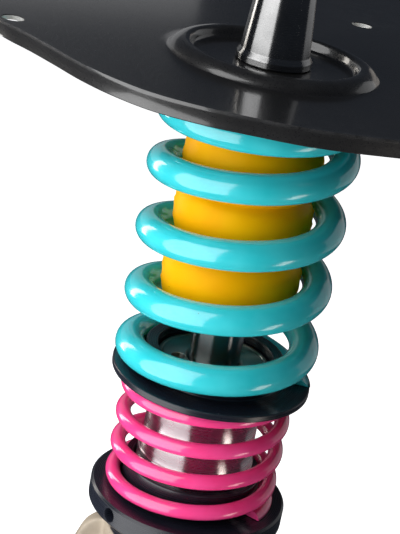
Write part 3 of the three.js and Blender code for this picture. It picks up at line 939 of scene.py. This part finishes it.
def bump_stop():
    """Foam buffer with soft lobes, waists between them and a moulding flash down each side."""
    outer, low, high = span("bump_stop")
    bore = 11.5
    skin = [(radius, low + rise, 0) for radius, rise in smooth_profile(STOP_OUTLINE, 5)]
    outline = [(bore, low + STOP_OUTLINE[0][1], 0.8), *skin, (bore, high, 0.8)]
    fin_edges = (-FLASH_REACH, -0.3, 0.3, FLASH_REACH)
    turns = sorted({k / ROUND for k in range(ROUND)}
                   | {(side + off / 360) % 1 for side in (0, 0.5) for off in fin_edges})
    bm = bmesh.new()
    rings = []
    for radius, height in eased(outline, 0):
        ring = []
        for turn in turns:
            reach = radius
            if radius > 18:
                reach += min(flash_height(turn, height), outer + 0.3 - radius)
            ring.append(bm.verts.new(polar(turn, reach, height)))
        rings.append(ring)
    close_rings(bm, rings)
    stop = stand_for(finished_mesh("foam_stop", bm), "bump_stop")
    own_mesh(stop)


# ---- damper ----
def damper_case():
    """The tube: a plain wall, a lip, a groove and the thread for the perch."""
    outer, low, high = span("damper_tube")
    wall, bore, root, lip = 24.3, 21, 24.9, 25.4
    tube = [
        (bore, low), (outer - 1, low), (outer, low + 1, 0), (outer, 132.4, 0), (root, 133.2, 0.1),
        (root, 134.2, 0.1), (lip, 134.5, 0.15), (lip, 136.6, 0.1), (25.2, 136.8, 0.05), (25.2, 137.1, 0.05),
        (lip, 137.3, 0.1), (lip, 141.6, 0.25), (24.95, 141.9, 0.1), (24.95, 143.2, 0.3), (24.7, 144.6, 0.6),
        (wall, 146.4, 2), (wall, high, 0.3), (bore, high, 0.3),
    ]
    thread = (96, 132.2, 2, 0.9, outer - 0.2)
    stand_for(turned("damper_case", tube, thread=thread), "damper_tube")


def gland():
    """The cap that closes the tube, with three holes for a pin spanner."""
    outer, low, high = span("gland_cap")
    rod = 11
    skirt = 20.7
    land = high - 4.7
    cap = [
        (rod + 2.2, low), (skirt, low), (skirt, land, 0), (outer, land), (outer, high, 0.7),
        (22.6, high, 0.05), (22.4, high - 0.25, 0.05), (21.9, high - 0.25, 0.05), (21.7, high, 0.05),
        (rod + 1.4, high, 0.2), (rod + 0.3, high - 1, 0.2), (rod + 0.3, 180, 0.1), (rod + 2.2, 180, 0.1),
    ]
    hole = [(0, high - 5.4), (3, high - 5.4), (3, high - 0.2), (3.2, high + 0.05), (3.2, high + 4),
            (0, high + 4)]
    out = Matrix.Translation((15.6 * MM, 0, 0))
    drills = [moved(turned("pin_drill", hole, 0, 48), about_z(197 + 120 * k) @ out) for k in range(3)]
    stand_for(shaped_by(turned("gland", cap), "DIFFERENCE", drills), "gland_cap")



# ---- seats ----
def seat_divider():
    outer, low, high = span("spring_divider")
    bore, skirt, sleeve, groove = 24.75, 30.3, 29.85, 26
    seat = high - 9.5
    divider = [
        (bore, low), (skirt, low, 0.8), (skirt, seat - 3, 0.5), (outer, seat - 3, 0.6),
        (outer, seat, 0.6), (sleeve, seat, 0.6), (sleeve, high, 0.8), (bore, high, 0.6),
        (bore, 180, 0.2), (groove, 180, 0.2), (groove, 174, 0.2), (bore, 174, 0.2),
    ]
    stand_for(turned("seat_divider", divider), "spring_divider")


def perch():
    """The collar that centres the lower spring, and the nut under it with four spanner holes."""
    outer, low, high = span("perch_collar")
    stand_for(collar("seat_collar", outer, 26.4, low, high, 0.8), "perch_collar")

    outer, low, high = span("perch_ring")
    hole = [(0, 30), (2.9, 30), (2.9, outer - 0.75), (3.5, outer + 0.3), (3.5, outer + 3), (0, outer + 3)]
    lie = Matrix.Translation((0, 0, (low + 4.8) * MM)) @ ALONG_X
    drills = [moved(turned("spanner_drill", hole, 0, 48), about_z(224.5 + 90 * k) @ lie) for k in range(4)]
    ring = [(TUBE_BORE, low, 0.6), (outer - 1, low, 0.2), (outer, low + 1, 0.2), (outer, high - 1, 0.2),
            (outer - 1, high, 0.2), (TUBE_BORE, high, 0.6)]
    stand_for(shaped_by(turned("perch_nut", ring), "DIFFERENCE", drills), "perch_ring")


def lock_nuts():
    """Two slotted nuts: one under the perch, one on the bracket."""
    for name, node in (("perch_locknut", "perch_lock_ring"), ("bracket_locknut", "bracket_lock_ring")):
        outer, low, high = span(node)
        slots = [block("slot_tool", (8, 6, 30), (outer + 1, 0, low), about_z(20 + 60 * k)) for k in range(6)]
        blank = collar(name, outer, TUBE_BORE, low, high, 0.7)
        stand_for(shaped_by(blank, "DIFFERENCE", slots), node)



# ---- lower bracket ----
LUG_TOP = (-31, 88)
LUG_RADIUS = 13.3


def upright_slab(name, outline, half_width):
    """A slab in the XZ plane, given by its outline in millimetres."""
    bm = bmesh.new()
    sides = [[bm.verts.new((x * MM, y * MM, z * MM)) for x, z in outline]
             for y in (-half_width, half_width)]
    join_rings(bm, *sides)
    for side in sides:
        bm.faces.new(side)
    return finished_mesh(name, bm)


def half_ring(centre, radius, from_angle):
    turns = [from_angle + math.pi * k / 24 for k in range(25)]
    return [(centre[0] + radius * math.cos(a), centre[1] + radius * math.sin(a)) for a in turns]


def cast_bracket():
    """One casting: a cup for the damper, a web down to the eye and a lug for the link."""
    outer = 33
    eye = 20
    low, high = 18, span("lower_bracket")[2]
    hole_low, hole_high = OPENINGS["link_lug_hole"]
    lug_hole = ((hole_low[0] + hole_high[0]) / 2 / MM, (hole_low[2] + hole_high[2]) / 2 / MM)
    slope = math.atan2(lug_hole[1] - LUG_TOP[1], lug_hole[0] - LUG_TOP[0])
    lug = half_ring(lug_hole, LUG_RADIUS, slope - math.pi / 2)
    lug += half_ring(LUG_TOP, LUG_RADIUS, slope + math.pi / 2)
    cup = [(0, low), (22, low), (outer - 3, 24), (outer, 30), (outer, high), (0, high)]
    body = turned("bracket", cup)
    cylinder = [(0, -18), (eye, -18), (eye, 18), (0, 18)]
    lumps = [
        moved(turned("eye_lump", cylinder, 0.6), ALONG_Y),
        upright_slab("web_lump", [(-30, 52), (-30, 24), (-19.5, -4), (19.5, -4), (30, 24), (30, 52)], 12),
        upright_slab("lug_lump", lug, 4),
        upright_slab("gusset_lump", [(-20, 96), (-20, 30), (-34, 34), (-46, 46), (-43, 84)], 4),
    ]
    shaped_by(body, "UNION", lumps)
    melt = body.modifiers.new("melt", "REMESH")
    melt.mode = "VOXEL"
    melt.voxel_size = 1.0 * MM
    soften = body.modifiers.new("soften", "SMOOTH")
    soften.factor = 0.5
    soften.iterations = 8
    with_modifiers_applied(body)
    bore = [(0, 28), (TUBE_BORE, 28), (TUBE_BORE, high - 0.8), (TUBE_BORE + 1, high + 0.2),
            (TUBE_BORE + 1, high + 9), (0, high + 9)]
    tube_bore = turned("tube_bore", bore, 0)
    top_face = block("top_face", (120, 120, 20), (0, 0, high + 9.9))
    eye_bore = moved(turned("eye_bore", [(0, -40), (16.3, -40), (16.3, 40), (0, 40)], 0), ALONG_Y)
    eye_faces = [block("eye_face", (60, 20, 46), (0, side * 27.9, 0)) for side in (-1, 1)]
    lug_drill = turned("lug_drill", [(0, -20), (5.1, -20), (5.1, 20), (0, 20)], 0, 64)
    moved(lug_drill, Matrix.Translation((lug_hole[0] * MM, 0, lug_hole[1] * MM)) @ ALONG_Y)
    tools = [tube_bore, top_face, eye_bore, *eye_faces, lug_drill]
    stand_for(shaped_by(body, "DIFFERENCE", tools), "lower_bracket")



def eye_bush():
    """A rubber bush between two steel sleeves, along the eye."""
    for name, node, outer, inner, half, ease in (("outer_sleeve", "bush_outer_sleeve", 16, 14.6, 18, 0.4),
                                                 ("inner_sleeve", "bush_inner_sleeve", 8.5, 6.1, 22, 0.5)):
        stand_for(moved(collar(name, outer, inner, -half, half, ease), ALONG_Y), node)
    rubber = [(8.75, -17), (10.4, -16.9, 1), (11.6, -14.8, 1), (13, -16.6, 1), (14.35, -16.8, 0.4),
              (14.35, 16.8, 0.4), (13, 16.6, 1), (11.6, 14.8, 1), (10.4, 16.9, 1), (8.75, 17)]
    stand_for(moved(turned("bush_core", rubber, 0.5), ALONG_Y), "bush_rubber")


def finish_cad_nodes():
    """The pieces inside the damper keep their CAD shape and take the finish of their slot."""
    for node, piece in frame["nodes"].items():
        take_finish(piece, node)


place_camera()
light_studio()
lay_floor()
finish_cad_nodes()
wind_springs()
pressed_plate()
chromed_rod()
cone_and_washer()
hexagon_nut()
stop_cup()
bump_stop()
damper_case()
gland()
seat_divider()
perch()
lock_nuts()
cast_bracket()
eye_bush()
